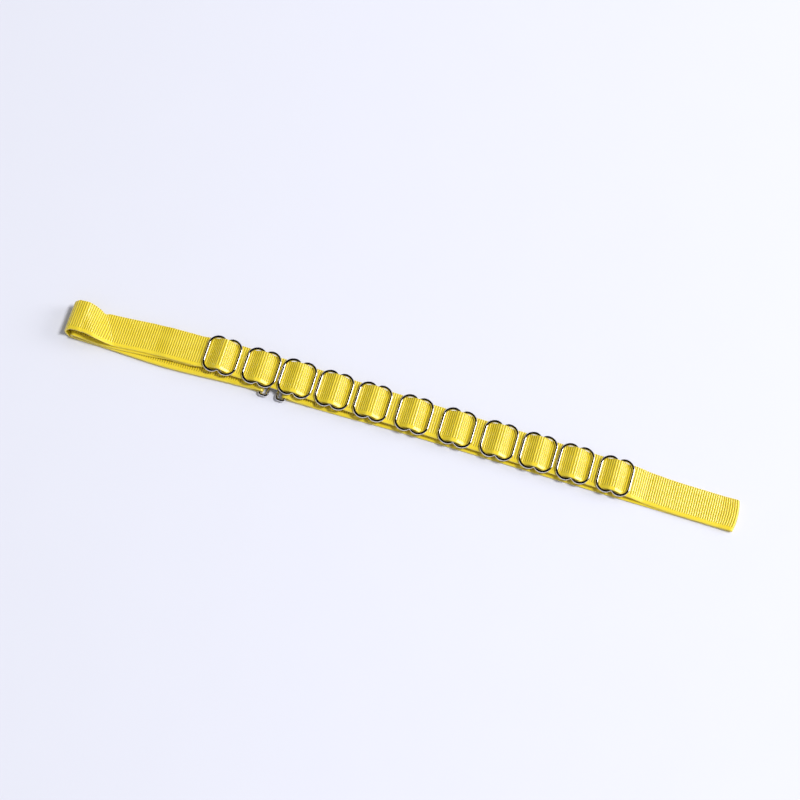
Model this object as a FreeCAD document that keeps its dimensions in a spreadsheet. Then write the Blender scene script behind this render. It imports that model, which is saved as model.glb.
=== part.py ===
import FreeCAD, Part
import Sketcher
import math
import os

# Elastic webbing slider belt, folded flat. One strap of elastic webbing is closed into a loop by
# a hook and a ring, and eleven figure-of-eight wire sliders are threaded on its upper layer.
# The leftmost slider is the adjuster: the strap's end is sewn round its centre bar.
#
# Frame: millimetres, +X along the folded belt from the left fold to the right fold, +Y across it,
# +Z up. The origin is below the middle of the belt's box, on the surface that it lies on.
# Places along the belt are given as a distance from the left fold.

doc = FreeCAD.newDocument("slider_belt")

# ---------------------------------------------------------------------------- driving dimensions

DIMENSIONS = [
    ("belt_length", 316.4, "outside of the left fold to outside of the right fold"),
    ("webbing_width", 14.8, "15 mm elastic webbing, a little narrowed by its pull"),
    ("tail_width", 15.2, "the same webbing in the right-hand tail, where nothing pulls it"),
    ("webbing_thickness", 0.9, "one layer of webbing"),
    ("layer_gap", 0.1, "air between two layers of webbing that lie on each other"),
    ("metal_gap", 0.05, "air between webbing and the wire that it bends round"),
    ("bar_gap", 0.15, "air between webbing and the outer bars that it passes under"),
    ("wire_diameter", 1.3, "round wire of the sliders, the hook eye and the ring"),
    ("slider_reach", 7.45, "slider centre to the centre line of its outer bars, along the belt"),
    ("slider_rise", 8.35, "slider centre to the centre line of its lobes, across the belt"),
    ("slider_corner", 4.3, "centre line radius of a slider's four corners"),
    ("notch_depth", 1.4, "how far each waist of the figure of eight dips below its lobes"),
    ("notch_radius", 1.0, "centre line radius at the bottom of a waist"),
    ("closure_reach", 1.85, "centre of the ring or hook eye to its bars, along the belt"),
    ("closure_rise", 8.55, "centre of the ring or hook eye to its ends, across the belt"),
    ("closure_corner", 1.1, "centre line radius of the corners of the ring and the hook eye"),
    ("closure_offset", 2.5, "the closure lies this far in front of the slider row"),
    ("eye_place", 94.7, "left fold to the centre of the hook eye"),
    ("ring_place", 102.8, "left fold to the centre of the ring"),
    ("plate_thickness", 0.7, "sheet of the hook's tongue"),
    ("throat_gap", 0.2, "air between the hook's throat and the ring bar in it"),
    ("tongue_root", 10.0, "width of the hook's tongue where it leaves the eye"),
    ("tongue_tip", 6.4, "width of the hook's tongue where it curls round the ring"),
    ("tack_length", 2.5, "length of a bar tack along the belt"),
    ("tack_width", 12.4, "length of a bar tack across the belt"),
    ("first_slider", 71.9, "left fold to the centre of the adjuster"),
    ("adjuster_lift", 5.7, "height of the adjuster's wire centre"),
]

# Spaces between neighbouring sliders, outer bar to outer bar, from left to right.
SLIDER_SPACES = [2.45, 0.85, 1.45, 1.95, 3.45, 4.25, 3.55, 2.15, 1.25, 2.65]

# Height of each slider's wire centre: the row comes down from the sewn layers and the closure.
SLIDER_LIFTS = [5.7, 5.5, 5.3, 5.1, 4.9, 4.7, 4.55, 4.45, 4.4, 4.35, 4.3]

sheet = doc.addObject("Spreadsheet::Sheet", "dimensions")


def add_cell(row, alias, value, note):
    """Puts one number in the sheet, with its alias and what it means."""
    cell = "A%d" % row
    sheet.set(cell, str(value))
    sheet.setAlias(cell, alias)
    sheet.set("B%d" % row, note)


for row, (alias, value, note) in enumerate(DIMENSIONS, start=1):
    add_cell(row, alias, value, note)
doc.recompute()

half_belt = sheet.belt_length / 2
half_width = sheet.webbing_width / 2
half_layer = sheet.webbing_thickness / 2
layer_pitch = sheet.webbing_thickness + sheet.layer_gap
wire_radius = sheet.wire_diameter / 2
slider_half_length = sheet.slider_reach + wire_radius
# The belt's box is centred: the row reaches back as far as the closure reaches forward.
row_y = (sheet.closure_offset + sheet.closure_rise - sheet.slider_rise) / 2
closure_y = row_y - sheet.closure_offset

# Radius of the webbing's centre line where it bends round a wire.
bend_round_wire = wire_radius + sheet.metal_gap + half_layer
low_layer = half_layer
second_layer = low_layer + layer_pitch
closure_lift = low_layer + bend_round_wire


def slider_places():
    """Distance from the left fold to each slider's centre."""
    places = [sheet.first_slider]
    for space in SLIDER_SPACES:
        places.append(places[-1] + 2 * slider_half_length + space)
    return places


SLIDER_PLACES = slider_places()
SLIDER_COUNT = len(SLIDER_PLACES)

place_row = len(DIMENSIONS) + 1
for number, place in enumerate(SLIDER_PLACES, start=1):
    add_cell(place_row, "slider_place_%02d" % number, round(place, 3), "left fold to this slider")
    add_cell(place_row + 1, "slider_lift_%02d" % number, SLIDER_LIFTS[number - 1], "its height")
    place_row += 2
doc.recompute()


# ---------------------------------------------------------------------------- ribbons of webbing

def offset_from(centre, point, radius):
    """The point at this radius from the centre, on the line through the given point."""
    direction = (point - centre).normalize()
    return centre + direction * radius


def rounded_corner(before, corner, after, radius):
    """Start, middle, end and centre of the arc that rounds a corner of a route."""
    to_before = (before - corner).normalize()
    to_after = (after - corner).normalize()
    half_angle = to_before.getAngle(to_after) / 2
    tangent_length = radius / math.tan(half_angle)
    start = corner + to_before * tangent_length
    end = corner + to_after * tangent_length
    inward = (to_before + to_after).normalize()
    centre = corner + inward * (radius / math.sin(half_angle))
    middle = centre - inward * radius
    return start, middle, end, centre


def side_of_ribbon(route, side_offset):
    """Edges of the line beside a route, to its left if the offset is positive."""
    points = [FreeCAD.Vector(x, 0, z) for x, z, _ in route]
    edges = []
    first_run = (points[1] - points[0]).normalize()
    here = points[0] + FreeCAD.Vector(-first_run.z, 0, first_run.x) * side_offset
    for index in range(1, len(points) - 1):
        before, corner, after = points[index - 1:index + 2]
        radius = route[index][2]
        start, middle, end, centre = rounded_corner(before, corner, after, radius)
        turn = (corner - before).cross(after - corner).y
        turns_left = turn < 0
        side_radius = radius - side_offset if turns_left else radius + side_offset
        start, middle, end = [offset_from(centre, point, side_radius)
                              for point in (start, middle, end)]
        if here.distanceToPoint(start) > 1e-6:
            edges.append(Part.LineSegment(here, start).toShape())
        edges.append(Part.Arc(start, middle, end).toShape())
        here = end
    last_run = (points[-1] - points[-2]).normalize()
    finish = points[-1] + FreeCAD.Vector(-last_run.z, 0, last_run.x) * side_offset
    if here.distanceToPoint(finish) > 1e-6:
        edges.append(Part.LineSegment(here, finish).toShape())
    return edges


def ribbon_face(route, thickness):
    """Side view of a ribbon: route is a list of (x, z, corner radius) along its centre line."""
    left = side_of_ribbon(route, thickness / 2)
    right = side_of_ribbon(route, -thickness / 2)
    start_cap = Part.LineSegment(right[0].Vertexes[0].Point, left[0].Vertexes[0].Point).toShape()
    end_cap = Part.LineSegment(left[-1].Vertexes[-1].Point, right[-1].Vertexes[-1].Point).toShape()
    wire = Part.Wire(Part.__sortEdges__(left + [end_cap] + right + [start_cap]))
    return Part.Face(wire)


def plan_face(middle_line, half_widths):
    """Top view of a ribbon: middle_line is a list of (x, y), each with its half width."""
    back = [FreeCAD.Vector(x, y + half, 0) for (x, y), half in zip(middle_line, half_widths)]
    front = [FreeCAD.Vector(x, y - half, 0) for (x, y), half in zip(middle_line, half_widths)]
    outline = back + front[::-1]
    return Part.Face(Part.makePolygon(outline + [outline[0]]))


def add_ribbon(name, route, thickness, middle_line, half_widths):
    """A bent ribbon: its side view pushed across the belt and cut to its top view."""
    side_view = doc.addObject("Part::Feature", name + "_side_view")
    side_view.Shape = ribbon_face(route, thickness)
    across = doc.addObject("Part::Extrusion", name + "_across")
    across.Base = side_view
    across.Dir = FreeCAD.Vector(0, 1, 0)
    across.Solid = True
    across.setExpression("LengthFwd", "dimensions.webbing_width * 1.5")
    across.setExpression("LengthRev", "dimensions.webbing_width * 1.5")
    top_view = doc.addObject("Part::Feature", name + "_top_view")
    top_view.Shape = plan_face(middle_line, half_widths)
    upward = doc.addObject("Part::Extrusion", name + "_upward")
    upward.Base = top_view
    upward.Dir = FreeCAD.Vector(0, 0, 1)
    upward.Solid = True
    upward.setExpression("LengthFwd", "dimensions.webbing_width")
    upward.setExpression("LengthRev", "dimensions.webbing_thickness")
    ribbon = doc.addObject("Part::Common", name)
    ribbon.Base = across
    ribbon.Tool = upward
    return ribbon


def along(places):
    """Turns distances from the left fold into X, in a list of points."""
    return [(place[0] - half_belt,) + tuple(place[1:]) for place in places]


# ---------------------------------------------------------------------------- strap

# Slopes and bends of the strap where it rides over a slider's centre bar.
HUMP_TOP = 1.75
HUMP_FOOT = 4.76
HUMP_BEND = 1.6
ADJUSTER_SLOPE = math.radians(36.5)
FOOT_BEND = 1.0

# Places where the strap's route is cut between its upper and lower parts: each is a height on
# the upright run at the end of a fold.
LEFT_FOLD_CUT = 3.8
INNER_FOLD_CUT = 2.85
RIGHT_FOLD_CUT = 1.28

# Bends of the folds: the left one stands open round the inner one, the right one is pressed flat.
LEFT_FOLD_SHOULDER = 6.9
LEFT_FOLD_CREST = (7.0, 9.0)
INNER_FOLD_PLACE = 3.4
INNER_FOLD_TOP = 4.35
RIGHT_FOLD_TOP = 2.25
RIGHT_FOLD_BEND = 0.8

# Places along the upper layers, as distances from the left fold.
FOLD_FOOT = 16.8
INNER_FOLD_FOOT = 15.5
SEWN_STEP_START = 41.8
SEWN_STEP_END = 46.8
SEWN_TAIL_END = 51.0
LAST_RAMP_TOP = 267.0
TAIL_START = 273.0
RIGHT_FOLD_FOOT = 308.0

# Places along the lower layers: the sewn end at the ring, and the loops round the eye and ring.
EYE_LOOP_FOOT = 88.0
EYE_LOOP_HEEL = 91.5
RING_LOOP_HEEL = 106.0
RING_LOOP_FOOT = 109.5
RING_TAIL_END = 118.0

# How far the middle of the strap lies from the slider row across the belt: its left fold is
# skewed to the front, its lower layers more so, and its tail a little.
LEFT_FOLD_OFFSET = -3.2
INNER_FOLD_OFFSET = -3.8
LOWER_LEFT_OFFSET = -4.3
AT_ADJUSTER_OFFSET = -0.9
TAIL_OFFSET = -0.9

# Radii of the long gentle bends between straight runs.
WIDE_BEND = 20.0
STEP_SWEEP = 8.0
INNER_FOOT_SWEEP = 6.0
CREST_SWEEP = 4.0
SHOULDER_SWEEP = 4.0
FOOT_SWEEP = 3.0
LOWER_FOLD_SWEEP = 3.0
LOOP_FOOT_SWEEP = 2.0
INNER_FOLD_SWEEP = 1.25

TACK_GAP = 0.05

left_end = half_layer
right_end = sheet.belt_length - half_layer
under_bar = wire_radius + sheet.bar_gap + half_layer
over_bar = bend_round_wire
over_loop = bend_round_wire + layer_pitch - sheet.metal_gap


def hump(place, lift):
    """The strap's route over a slider's centre bar, from its right foot to its left foot."""
    return [
        (place + HUMP_FOOT, lift - under_bar, HUMP_BEND),
        (place + HUMP_TOP, lift + over_bar, HUMP_BEND),
        (place - HUMP_TOP, lift + over_bar, HUMP_BEND),
        (place - HUMP_FOOT, lift - under_bar, HUMP_BEND),
    ]


def adjuster_hump(place, lift):
    """The strap's route over the loop that is sewn round the adjuster's centre bar."""
    peak = over_loop / math.cos(ADJUSTER_SLOPE)
    foot = (peak + under_bar) / math.tan(ADJUSTER_SLOPE)
    return [
        (place + foot, lift - under_bar, FOOT_BEND),
        (place, lift + peak, over_loop),
        (place - foot, lift - under_bar, FOOT_BEND),
    ]


def upper_route():
    """Right fold, then left through all the sliders, then the top of the left fold."""
    route = [
        (right_end, RIGHT_FOLD_CUT, 0),
        (right_end, RIGHT_FOLD_TOP, RIGHT_FOLD_BEND),
        (RIGHT_FOLD_FOOT, second_layer, WIDE_BEND),
        (TAIL_START, second_layer, 6.0),
        (LAST_RAMP_TOP, SLIDER_LIFTS[-1] - under_bar, 4.0),
    ]
    for number in range(SLIDER_COUNT - 1, 0, -1):
        route += hump(SLIDER_PLACES[number], SLIDER_LIFTS[number])
    adjuster_under = sheet.adjuster_lift - under_bar
    route += adjuster_hump(sheet.first_slider, sheet.adjuster_lift)
    route += [
        (SEWN_STEP_END, adjuster_under, STEP_SWEEP),
        (SEWN_STEP_START, adjuster_under - layer_pitch, STEP_SWEEP),
        (FOLD_FOOT, adjuster_under - layer_pitch - 0.05, FOOT_SWEEP),
        LEFT_FOLD_CREST + (CREST_SWEEP,),
        (left_end, LEFT_FOLD_SHOULDER, SHOULDER_SWEEP),
        (left_end, LEFT_FOLD_CUT, 0),
    ]
    return route


def sewn_end_route():
    """The strap's end: the inner fold, the loop round the adjuster's bar and the sewn tail."""
    place = sheet.first_slider
    lift = sheet.adjuster_lift
    rise = FreeCAD.Vector(math.cos(ADJUSTER_SLOPE), 0, math.sin(ADJUSTER_SLOPE))
    down = FreeCAD.Vector(rise.z, 0, -rise.x)
    bar = FreeCAD.Vector(place, 0, lift)
    loop_top = bar - down * bend_round_wire + rise * bend_round_wire
    loop_bottom = bar + down * bend_round_wire + rise * bend_round_wire
    under_strap = lift - under_bar - layer_pitch
    tail = under_strap - layer_pitch
    slope = math.tan(ADJUSTER_SLOPE)
    strap_foot = loop_top.x - (loop_top.z - under_strap) / slope
    tail_foot = loop_bottom.x - (loop_bottom.z - tail) / slope
    return [
        (INNER_FOLD_PLACE, INNER_FOLD_CUT, 0),
        (INNER_FOLD_PLACE, INNER_FOLD_TOP, INNER_FOLD_SWEEP),
        (INNER_FOLD_FOOT, tail - 0.03, INNER_FOOT_SWEEP),
        (SEWN_STEP_START + 0.4, tail, STEP_SWEEP),
        (SEWN_STEP_END + 0.6, under_strap, STEP_SWEEP),
        (strap_foot, under_strap, HUMP_BEND),
        (loop_top.x, loop_top.z, bend_round_wire),
        (loop_bottom.x, loop_bottom.z, bend_round_wire),
        (tail_foot, tail, HUMP_BEND),
        (SEWN_TAIL_END, tail, 0),
    ]


def lower_left_route():
    """Under the left fold, along to the hook eye, round its bar and back as a second layer."""
    eye_bar = sheet.eye_place - sheet.closure_reach
    turn = eye_bar + bend_round_wire
    loop_top = closure_lift + bend_round_wire
    return [
        (left_end, LEFT_FOLD_CUT, 0),
        (left_end, low_layer, LOWER_FOLD_SWEEP),
        (turn, low_layer, bend_round_wire),
        (turn, loop_top, bend_round_wire),
        (EYE_LOOP_HEEL, loop_top, LOOP_FOOT_SWEEP),
        (EYE_LOOP_FOOT, second_layer, LOOP_FOOT_SWEEP),
        (INNER_FOLD_PLACE, second_layer, INNER_FOLD_SWEEP),
        (INNER_FOLD_PLACE, INNER_FOLD_CUT, 0),
    ]


def lower_right_route():
    """The end sewn round the ring's bar, then right along the bottom to the right fold."""
    ring_bar = sheet.ring_place + sheet.closure_reach
    turn = ring_bar - bend_round_wire
    loop_top = closure_lift + bend_round_wire
    return [
        (RING_TAIL_END, second_layer, 0),
        (RING_LOOP_FOOT, second_layer, LOOP_FOOT_SWEEP),
        (RING_LOOP_HEEL, loop_top, LOOP_FOOT_SWEEP),
        (turn, loop_top, bend_round_wire),
        (turn, low_layer, bend_round_wire),
        (right_end, low_layer, RIGHT_FOLD_BEND),
        (right_end, RIGHT_FOLD_CUT, 0),
    ]


def add_strap():
    """The whole strap as one solid, from four ribbons that meet inside its folds."""
    thickness = sheet.webbing_thickness
    fold_y = row_y + LEFT_FOLD_OFFSET
    inner_y = row_y + INNER_FOLD_OFFSET
    lower_y = row_y + LOWER_LEFT_OFFSET
    adjuster_y = row_y + AT_ADJUSTER_OFFSET
    tail_y = row_y + TAIL_OFFSET
    half_tail = sheet.tail_width / 2
    adjuster = sheet.first_slider
    before_adjuster = adjuster - 10
    belt_end = sheet.belt_length + 1
    fold_end = -1
    fold_straight = 5
    upper = add_ribbon(
        "strap_upper", along(upper_route()), thickness,
        along([(fold_end, fold_y), (fold_straight, fold_y), (before_adjuster, adjuster_y),
               (adjuster - 5, row_y), (LAST_RAMP_TOP - 3, row_y), (TAIL_START, tail_y),
               (belt_end, tail_y)]),
        [half_width] * 5 + [half_tail] * 2)
    half_loop = sheet.tack_width / 2
    sewn = add_ribbon(
        "strap_sewn_end", along(sewn_end_route()), thickness,
        along([(fold_end, inner_y), (fold_straight, inner_y), (before_adjuster, adjuster_y),
               (adjuster - 6, row_y), (adjuster - 5.99, row_y), (adjuster + 3, row_y)]),
        [half_width] * 4 + [half_loop] * 2)
    lower_left = add_ribbon(
        "strap_lower_left", along(lower_left_route()), thickness,
        along([(fold_end, fold_y), (2 * half_layer, fold_y), (INNER_FOLD_PLACE - 1, inner_y),
               (fold_straight, inner_y), (12, lower_y), (40, lower_y), (60, lower_y + 0.4),
               (EYE_LOOP_FOOT, closure_y), (sheet.eye_place, closure_y)]),
        [half_width] * 9)
    lower_right = add_ribbon(
        "strap_lower_right", along(lower_right_route()), thickness,
        along([(sheet.ring_place, closure_y), (RING_LOOP_FOOT, closure_y), (140, tail_y),
               (belt_end, tail_y)]),
        [half_width] * 2 + [half_tail] * 2)
    strap = doc.addObject("Part::MultiFuse", "main_strap")
    strap.Shapes = [upper, sewn, lower_left, lower_right]
    return strap


# ---------------------------------------------------------------------------- wire pieces

def plane_of(body, role):
    """One of the body's own origin planes."""
    return [feature for feature in body.Origin.OriginFeatures if feature.Role == role][0]


def add_sketch(body, name, role):
    """A sketch on one of the body's own origin planes."""
    sketch = body.newObject("Sketcher::SketchObject", name)
    sketch.AttachmentSupport = [(plane_of(body, role), "")]
    sketch.MapMode = "FlatFace"
    return sketch


def bind(sketch, constraint, expression):
    """Adds a dimension to a sketch and ties it to the sheet."""
    index = sketch.addConstraint(constraint)
    sketch.setExpression("Constraints[%d]" % index, expression)


def add_wire_profile(body, name, reach_expression, reach):
    """The round section of the wire, where the quarter path starts on the X axis."""
    sketch = add_sketch(body, name, "XZ_Plane")
    circle = Part.Circle(FreeCAD.Vector(reach, 0, 0), FreeCAD.Vector(0, 0, 1), wire_radius)
    sketch.addGeometry(circle, False)
    sketch.addConstraint(Sketcher.Constraint("PointOnObject", 0, 3, -1))
    bind(sketch, Sketcher.Constraint("DistanceX", -1, 1, 0, 3, reach), reach_expression)
    bind(sketch, Sketcher.Constraint("Diameter", 0, 2 * wire_radius), "dimensions.wire_diameter")
    return sketch


def add_quarter_wire(body, name, path, profile):
    """Sweeps the wire along a quarter of its path and mirrors it twice."""
    pipe = body.newObject("PartDesign::AdditivePipe", name + "_quarter")
    pipe.Profile = profile
    pipe.Spine = path
    doc.recompute()
    for suffix, role in (("_left", "YZ_Plane"), ("_front", "XZ_Plane")):
        mirror = body.newObject("PartDesign::Mirrored", name + suffix)
        mirror.TransformMode = "Whole shape"
        mirror.MirrorPlane = (plane_of(body, role), [""])
        body.Tip = mirror
        doc.recompute()


def slider_path(body):
    """A quarter of the figure of eight: outer bar, corner, lobe and half of the waist."""
    reach = sheet.slider_reach
    rise = sheet.slider_rise
    corner = sheet.slider_corner
    notch = sheet.notch_radius
    lobe_top = reach - corner
    turn = 2 * math.atan(sheet.notch_depth / lobe_top)
    lobe = lobe_top / math.sin(turn) - notch
    lobe_centre = FreeCAD.Vector(lobe_top, rise - lobe, 0)
    notch_centre = FreeCAD.Vector(0, rise - sheet.notch_depth + notch, 0)
    up = FreeCAD.Vector(0, 0, 1)
    quarter = math.pi / 2
    sketch = add_sketch(body, "figure_of_eight", "XY_Plane")
    sketch.addGeometry(Part.LineSegment(FreeCAD.Vector(reach, 0, 0),
                                        FreeCAD.Vector(reach, rise - corner, 0)), False)
    sketch.addGeometry(Part.ArcOfCircle(
        Part.Circle(FreeCAD.Vector(lobe_top, rise - corner, 0), up, corner), 0, quarter), False)
    sketch.addGeometry(Part.ArcOfCircle(
        Part.Circle(lobe_centre, up, lobe), quarter, quarter + turn), False)
    sketch.addGeometry(Part.ArcOfCircle(
        Part.Circle(notch_centre, up, notch), 3 * quarter, 3 * quarter + turn), False)
    sketch.addConstraint(Sketcher.Constraint("PointOnObject", 0, 1, -1))
    sketch.addConstraint(Sketcher.Constraint("Vertical", 0))
    sketch.addConstraint(Sketcher.Constraint("Tangent", 0, 2, 1, 1))
    sketch.addConstraint(Sketcher.Constraint("Tangent", 1, 2, 2, 1))
    sketch.addConstraint(Sketcher.Constraint("Tangent", 2, 2, 3, 2))
    sketch.addConstraint(Sketcher.Constraint("PointOnObject", 3, 1, -2))
    sketch.addConstraint(Sketcher.Constraint("PointOnObject", 3, 3, -2))
    sketch.addConstraint(Sketcher.Constraint("Vertical", 1, 2, 1, 3))
    bind(sketch, Sketcher.Constraint("DistanceX", -1, 1, 0, 1, reach), "dimensions.slider_reach")
    bind(sketch, Sketcher.Constraint("Radius", 1, corner), "dimensions.slider_corner")
    bind(sketch, Sketcher.Constraint("Radius", 3, notch), "dimensions.notch_radius")
    bind(sketch, Sketcher.Constraint("DistanceY", -1, 1, 1, 2, rise), "dimensions.slider_rise")
    bind(sketch, Sketcher.Constraint("DistanceY", -1, 1, 3, 1, rise - sheet.notch_depth),
         "dimensions.slider_rise - dimensions.notch_depth")
    return sketch


def add_centre_bar(body):
    """The slider's middle bar, from waist to waist."""
    sketch = add_sketch(body, "centre_bar_section", "XZ_Plane")
    circle = Part.Circle(FreeCAD.Vector(0, 0, 0), FreeCAD.Vector(0, 0, 1), wire_radius)
    sketch.addGeometry(circle, False)
    sketch.addConstraint(Sketcher.Constraint("Coincident", 0, 3, -1, 1))
    bind(sketch, Sketcher.Constraint("Diameter", 0, 2 * wire_radius), "dimensions.wire_diameter")
    bar = body.newObject("PartDesign::Pad", "centre_bar")
    bar.Profile = sketch
    bar.SideType = "Symmetric"
    bar.setExpression("Length", "2 * (dimensions.slider_rise - dimensions.notch_depth)")
    body.Tip = bar


def add_slider(number):
    """One figure-of-eight slider, at its place in the row."""
    label = "slider_%02d" % number
    body = doc.addObject("PartDesign::Body", label)
    path = slider_path(body)
    profile = add_wire_profile(body, "wire_section", "dimensions.slider_reach",
                               sheet.slider_reach)
    doc.recompute()
    add_quarter_wire(body, "wire", path, profile)
    add_centre_bar(body)
    place = "dimensions.slider_place_%02d - dimensions.belt_length / 2" % number
    body.setExpression("Placement.Base.x", place)
    body.Placement.Base.y = row_y
    body.setExpression("Placement.Base.z", "dimensions.slider_lift_%02d" % number)
    return body


def closure_path(body):
    """A quarter of a narrow rounded rectangle: a bar, a corner and half of an end."""
    reach = sheet.closure_reach
    rise = sheet.closure_rise
    corner = sheet.closure_corner
    up = FreeCAD.Vector(0, 0, 1)
    sketch = add_sketch(body, "rounded_rectangle", "XY_Plane")
    sketch.addGeometry(Part.LineSegment(FreeCAD.Vector(reach, 0, 0),
                                        FreeCAD.Vector(reach, rise - corner, 0)), False)
    centre = FreeCAD.Vector(reach - corner, rise - corner, 0)
    sketch.addGeometry(Part.ArcOfCircle(Part.Circle(centre, up, corner), 0, math.pi / 2), False)
    sketch.addGeometry(Part.LineSegment(FreeCAD.Vector(reach - corner, rise, 0),
                                        FreeCAD.Vector(0, rise, 0)), False)
    sketch.addConstraint(Sketcher.Constraint("PointOnObject", 0, 1, -1))
    sketch.addConstraint(Sketcher.Constraint("Vertical", 0))
    sketch.addConstraint(Sketcher.Constraint("Tangent", 0, 2, 1, 1))
    sketch.addConstraint(Sketcher.Constraint("Tangent", 1, 2, 2, 1))
    sketch.addConstraint(Sketcher.Constraint("Horizontal", 2))
    sketch.addConstraint(Sketcher.Constraint("PointOnObject", 2, 2, -2))
    bind(sketch, Sketcher.Constraint("DistanceX", -1, 1, 0, 1, reach), "dimensions.closure_reach")
    bind(sketch, Sketcher.Constraint("DistanceY", -1, 1, 2, 2, rise), "dimensions.closure_rise")
    bind(sketch, Sketcher.Constraint("Radius", 1, corner), "dimensions.closure_corner")
    return sketch


def add_closure_frame(label, place_alias):
    """The rounded rectangle of wire that makes the ring and the hook's eye."""
    body = doc.addObject("PartDesign::Body", label)
    path = closure_path(body)
    profile = add_wire_profile(body, "wire_section", "dimensions.closure_reach",
                               sheet.closure_reach)
    doc.recompute()
    add_quarter_wire(body, "wire", path, profile)
    body.setExpression("Placement.Base.x",
                       "dimensions.%s - dimensions.belt_length / 2" % place_alias)
    body.Placement.Base.y = closure_y
    body.Placement.Base.z = closure_lift
    return body


def add_hook():
    """The hook: a wire eye for the strap and a tapered tongue that curls round the ring's bar."""
    eye = add_closure_frame("hook_eye", "eye_place")
    ring_bar = sheet.ring_place - sheet.closure_reach
    eye_bar = sheet.eye_place + sheet.closure_reach
    throat = wire_radius + sheet.throat_gap + sheet.plate_thickness / 2
    shoulder = (eye_bar + ring_bar) / 2 - 0.15
    root_lift = closure_lift + 0.3
    shoulder_bend = 1.5
    tip = ring_bar - 0.2
    route = [
        (eye_bar, root_lift, 0),
        (shoulder, closure_lift + throat, shoulder_bend),
        (ring_bar + throat, closure_lift + throat, throat),
        (ring_bar + throat, closure_lift - throat, throat),
        (tip, closure_lift - throat, 0),
    ]
    half_root = sheet.tongue_root / 2
    half_tip = sheet.tongue_tip / 2
    curl_end = ring_bar + sheet.closure_reach
    tongue = add_ribbon(
        "hook_tongue", along(route), sheet.plate_thickness,
        along([(eye_bar - 1, closure_y), (eye_bar, closure_y), (shoulder, closure_y),
               (curl_end, closure_y)]),
        [half_root, half_root, half_tip, half_tip])
    hook = doc.addObject("Part::MultiFuse", "closure_hook")
    hook.Shapes = [eye, tongue]
    return hook


def add_tack(label, place, middle_y, lift):
    """A bar tack: a tight band of stitches across a cut end of the strap."""
    tack = doc.addObject("Part::Box", label)
    tack.setExpression("Length", "dimensions.tack_length")
    tack.setExpression("Width", "dimensions.tack_width")
    tack.setExpression("Height", "dimensions.webbing_thickness")
    corner = FreeCAD.Vector(place - half_belt, middle_y - sheet.tack_width / 2, lift - half_layer)
    tack.Placement = FreeCAD.Placement(corner, FreeCAD.Rotation())
    return tack


# ---------------------------------------------------------------------------- the belt

nodes = [add_strap()]
nodes += [add_slider(number) for number in range(1, SLIDER_COUNT + 1)]
nodes.append(add_hook())
nodes.append(add_closure_frame("closure_ring", "ring_place"))
tail_lift = sheet.adjuster_lift - under_bar - 2 * layer_pitch
nodes.append(add_tack("adjuster_end_tack", SEWN_TAIL_END - TACK_GAP - sheet.tack_length,
                      row_y - 1.0, tail_lift))
nodes.append(add_tack("ring_end_tack", RING_TAIL_END + TACK_GAP, closure_y + 0.8, second_layer))
doc.recompute()

# ---------------------------------------------------------------------------- checks and files

for thing in doc.Objects:
    if "Invalid" in thing.State or "Error" in thing.State:
        raise RuntimeError("%s did not build" % thing.Label)

for node in nodes:
    node.Label = node.Name
    if node.Shape.isNull() or not node.Shape.isValid() or len(node.Shape.Solids) != 1:
        raise RuntimeError("%s is not one valid solid" % node.Label)

os.makedirs("parts", exist_ok=True)
for node in nodes:
    node.Shape.exportStep("parts/%s.step" % node.Label)
    print("%s: %d solid, %.1f cubic mm" % (node.Label, len(node.Shape.Solids), node.Shape.Volume))
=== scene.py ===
import math

import bpy
import numpy as np
from mathutils import Matrix, Vector


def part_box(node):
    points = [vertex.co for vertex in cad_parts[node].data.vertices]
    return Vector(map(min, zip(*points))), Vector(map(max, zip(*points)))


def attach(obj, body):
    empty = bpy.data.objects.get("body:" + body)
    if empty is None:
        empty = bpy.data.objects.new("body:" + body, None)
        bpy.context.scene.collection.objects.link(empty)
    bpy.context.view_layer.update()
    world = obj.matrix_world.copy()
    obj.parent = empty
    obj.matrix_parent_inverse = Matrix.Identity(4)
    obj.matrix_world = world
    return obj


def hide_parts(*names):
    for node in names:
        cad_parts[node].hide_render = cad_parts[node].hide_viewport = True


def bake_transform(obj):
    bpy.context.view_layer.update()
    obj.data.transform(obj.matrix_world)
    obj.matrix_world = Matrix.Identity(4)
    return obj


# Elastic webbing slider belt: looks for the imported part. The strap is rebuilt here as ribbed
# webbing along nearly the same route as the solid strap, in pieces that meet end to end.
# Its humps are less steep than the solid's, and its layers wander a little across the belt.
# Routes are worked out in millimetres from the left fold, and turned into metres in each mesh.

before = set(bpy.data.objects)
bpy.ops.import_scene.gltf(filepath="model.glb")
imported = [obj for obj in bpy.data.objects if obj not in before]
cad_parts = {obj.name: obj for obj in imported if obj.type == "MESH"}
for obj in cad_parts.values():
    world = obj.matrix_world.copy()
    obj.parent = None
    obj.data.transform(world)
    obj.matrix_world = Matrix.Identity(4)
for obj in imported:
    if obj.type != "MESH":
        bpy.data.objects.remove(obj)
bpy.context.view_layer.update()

MM = 0.001


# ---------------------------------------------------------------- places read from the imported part

def centre_of(node):
    """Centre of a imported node, in metres."""
    low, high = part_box(node)
    return (low + high) / 2


strap_low, strap_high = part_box("main_strap")
LEFT_END = strap_low.x
BELT_LENGTH = (strap_high.x - strap_low.x) / MM


def from_left(x):
    """Distance from the left fold, in millimetres."""
    return (x - LEFT_END) / MM


SLIDER_COUNT = 11
SLIDER_NODES = ["slider_%02d" % number for number in range(1, SLIDER_COUNT + 1)]
SLIDER_PLACES = [from_left(centre_of(node).x) for node in SLIDER_NODES]
SLIDER_LIFTS = [centre_of(node).z / MM for node in SLIDER_NODES]
ROW_Y = centre_of(SLIDER_NODES[0]).y / MM
CLOSURE_Y = centre_of("closure_ring").y / MM
CLOSURE_LIFT = centre_of("closure_ring").z / MM
RING_PLACE = from_left(centre_of("closure_ring").x)

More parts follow.
